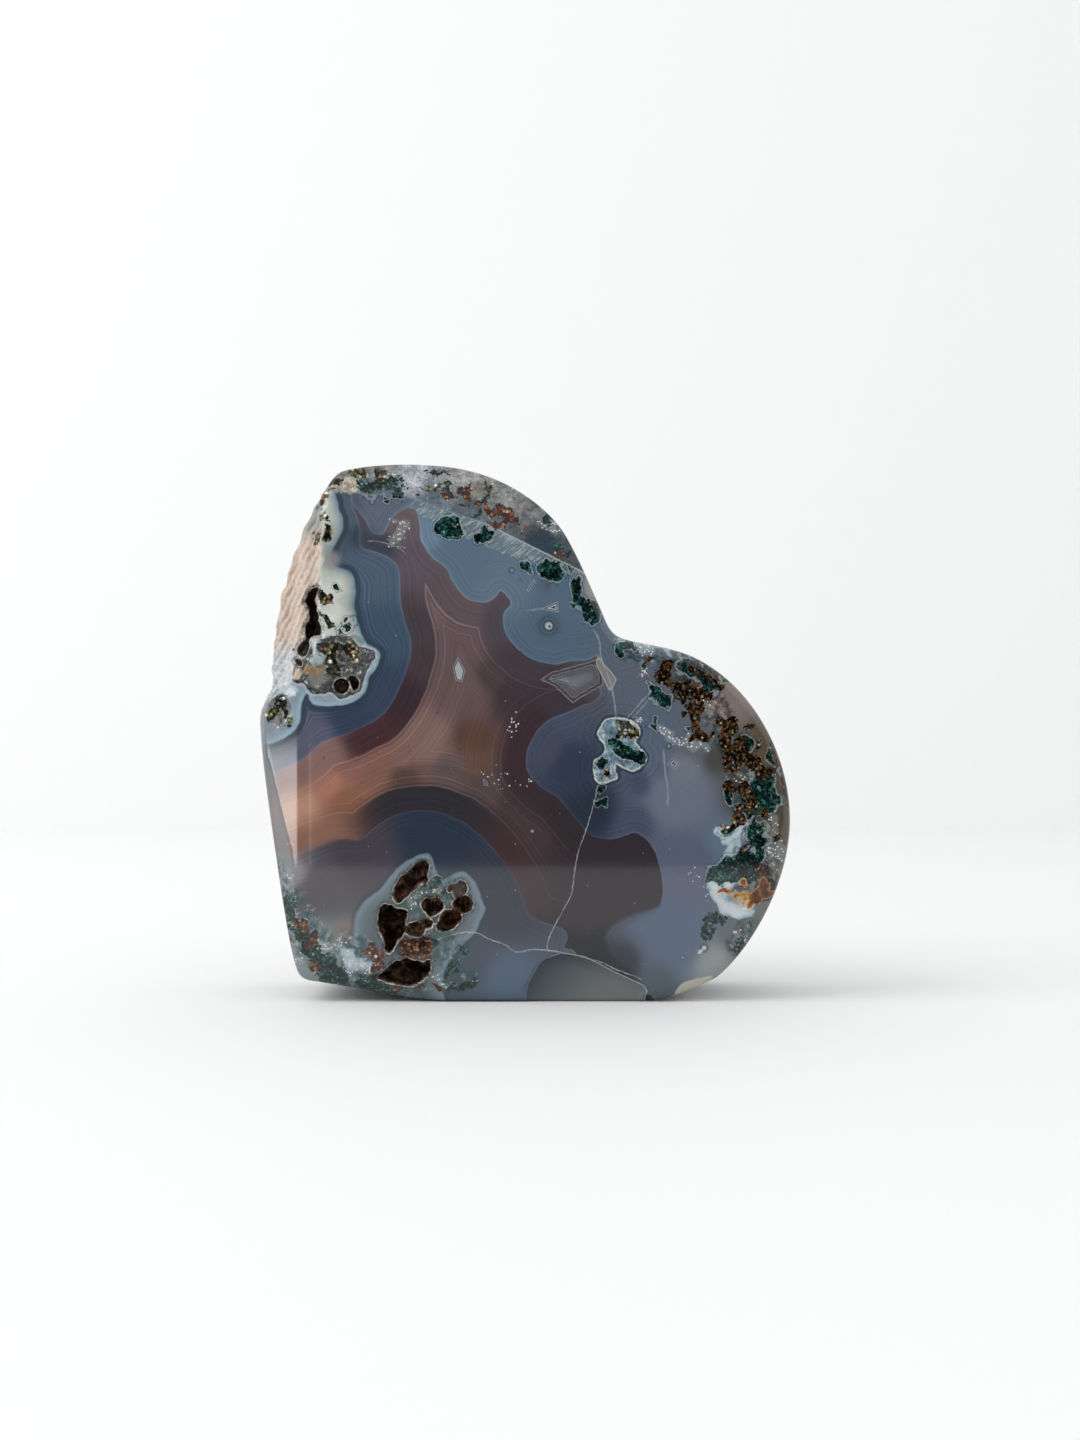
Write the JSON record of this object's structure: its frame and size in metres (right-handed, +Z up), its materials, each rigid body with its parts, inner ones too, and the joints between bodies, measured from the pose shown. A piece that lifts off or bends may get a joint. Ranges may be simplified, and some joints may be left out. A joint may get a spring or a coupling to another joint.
{
  "type": "agate heart stone",
  "caption": "Polished heart-shaped agate slab that stands on its long lower edge, with open pits and a rough rind on one side.",
  "frame": {"origin": "under the middle of the stone, on the surface that it stands on", "axes": "+Z up, +Y through the thickness towards the back, +X to the right as the polished front is seen"},
  "size_m": [0.094, 0.03, 0.0952],
  "materials": {
    "agate": "polished agate with blue-gray and brown bands, rough pale rind, crystal-lined pits"
  },
  "bodies": {
    "root": {"heart_stone": "agate"}
  },
  "joints": []
}
